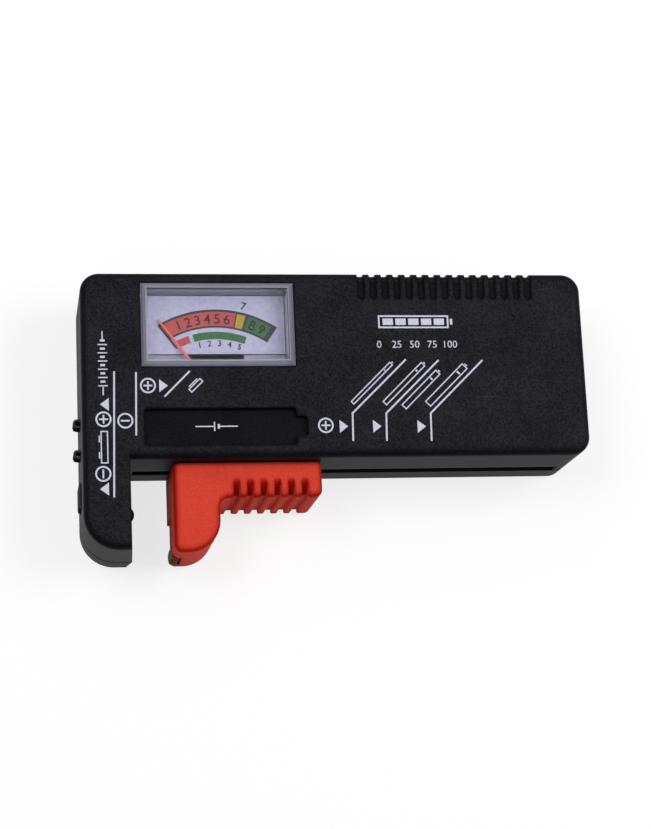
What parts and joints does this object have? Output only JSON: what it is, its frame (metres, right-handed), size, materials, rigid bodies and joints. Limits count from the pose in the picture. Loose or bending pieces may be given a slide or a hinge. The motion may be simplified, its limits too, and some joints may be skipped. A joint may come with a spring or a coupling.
{
  "type": "battery tester",
  "caption": "Flat pocket battery tester with a windowed moving-coil meter, a fixed jaw and a sprung sliding jaw that clamps a cell by its ends.",
  "frame": {"origin": "middle of the case outline on the flat back of the case", "axes": "+X along the case away from the fixed jaw, +Y towards the grip edge, +Z out of the front face"},
  "size_m": [0.1115, 0.0602, 0.0258],
  "materials": {
    "case_plastic": "charcoal black moulded plastic with a fine satin grain",
    "slider_plastic": "red moulded plastic, satin",
    "clear_cover": "clear moulded plastic, glossy",
    "tray_plastic": "pale grey moulded plastic",
    "scale_paint": "white painted sheet with coloured printed scale arcs",
    "needle_red": "thin red painted needle",
    "contact_nickel": "nickel plated strip",
    "screw_steel": "zinc plated steel",
    "brass": "bare brass",
    "copper": "enamelled copper winding wire",
    "spring_bronze": "bare bronze strip",
    "aluminium": "bare aluminium",
    "soft_iron": "blackened soft iron",
    "magnet": "dark sintered magnet",
    "resistor_lacquer": "tan lacquered body with tinned leads",
    "wire_red": "red insulated hook-up wire",
    "wire_black": "black insulated hook-up wire"
  },
  "bodies": {
    "housing": {"front_shell": "case_plastic", "rear_shell": "case_plastic", "case_screws": "screw_steel", "meter_lens": "clear_cover", "meter_case": "tray_plastic", "dial_plate": "scale_paint", "movement_cup": "tray_plastic", "yoke_ring": "soft_iron", "core_magnet": "magnet", "core_spacers": "brass", "upper_bridge": "brass", "jewel_screws": "brass", "upper_hairspring": "spring_bronze", "lower_hairspring": "spring_bronze", "meter_terminals": "brass", "positive_clip": "contact_nickel", "negative_strip": "contact_nickel", "jaw_rivet": "contact_nickel", "contact_rail": "brass", "slider_spring": "screw_steel", "load_resistor": "resistor_lacquer", "dropper_resistor": "resistor_lacquer", "wire_positive": "wire_red", "wire_negative": "wire_black", "wire_rail": "wire_red"},
    "slider": {"slider_arm": "slider_plastic", "slider_contact": "contact_nickel"},
    "needle": {"pointer": "needle_red", "balance_weight": "brass", "coil_former": "aluminium", "coil_winding": "copper", "pivot_shafts": "screw_steel"}
  },
  "joints": [
    {"name": "slider_travel", "type": "slide", "parent": "housing", "child": "slider", "axis": [1, 0, 0], "range_m": [0, 0.055], "stiffness_N_per_m": 25, "springref_m": -0.03, "deforming": ["slider_spring"]},
    {"name": "needle_swing", "type": "hinge", "parent": "housing", "child": "needle", "pos_m": [-0.02575, 0.00365, 0.0128], "axis": [0, 0, -1], "range_deg": [0, 79], "stiffness_Nm_per_rad": 0.000015, "springref_deg": -5.73, "deforming": ["upper_hairspring", "lower_hairspring"]}
  ]
}
